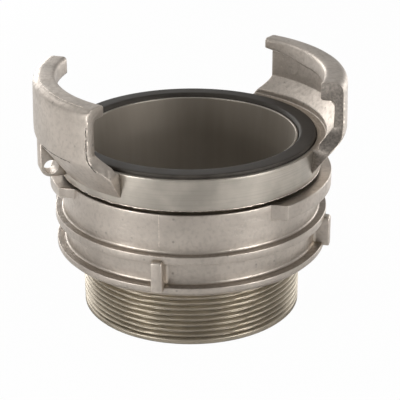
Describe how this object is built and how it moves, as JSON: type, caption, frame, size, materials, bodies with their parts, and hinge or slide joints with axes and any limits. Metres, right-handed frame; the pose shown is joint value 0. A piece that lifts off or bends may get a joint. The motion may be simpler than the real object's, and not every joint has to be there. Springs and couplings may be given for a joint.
{
  "type": "symmetrical hook half coupling",
  "caption": "Hose and pipe half coupling with two hooks, a turning locking ring with ramp lips, a flat rubber seal and a male pipe-thread tail.",
  "frame": {"origin": "on the bore's axis, at the tail's end face, which is the lowest point", "axes": "+Z along the bore, from the threaded tail to the hooks; the two hooks stand on the X axis, the one with the ear on the -X side"},
  "size_m": [0.1228, 0.1088, 0.0974],
  "materials": {
    "cast_stainless": "cast and blasted stainless steel, satin, with turned collar and thread",
    "ring_stainless": "cast stainless steel, blasted, with fine turning marks",
    "spring_steel": "drawn spring wire",
    "black_rubber": "moulded black nitrile rubber, matt"
  },
  "bodies": {
    "half_coupling": {"body": "cast_stainless", "seal": "black_rubber"},
    "ring": {"locking_ring": "ring_stainless", "retaining_wire": "spring_steel"}
  },
  "joints": [
    {"name": "ring_turn", "type": "hinge", "parent": "half_coupling", "child": "ring", "pos_m": [0, 0, 0.0416], "axis": [0, 0, 1], "continuous": true}
  ]
}
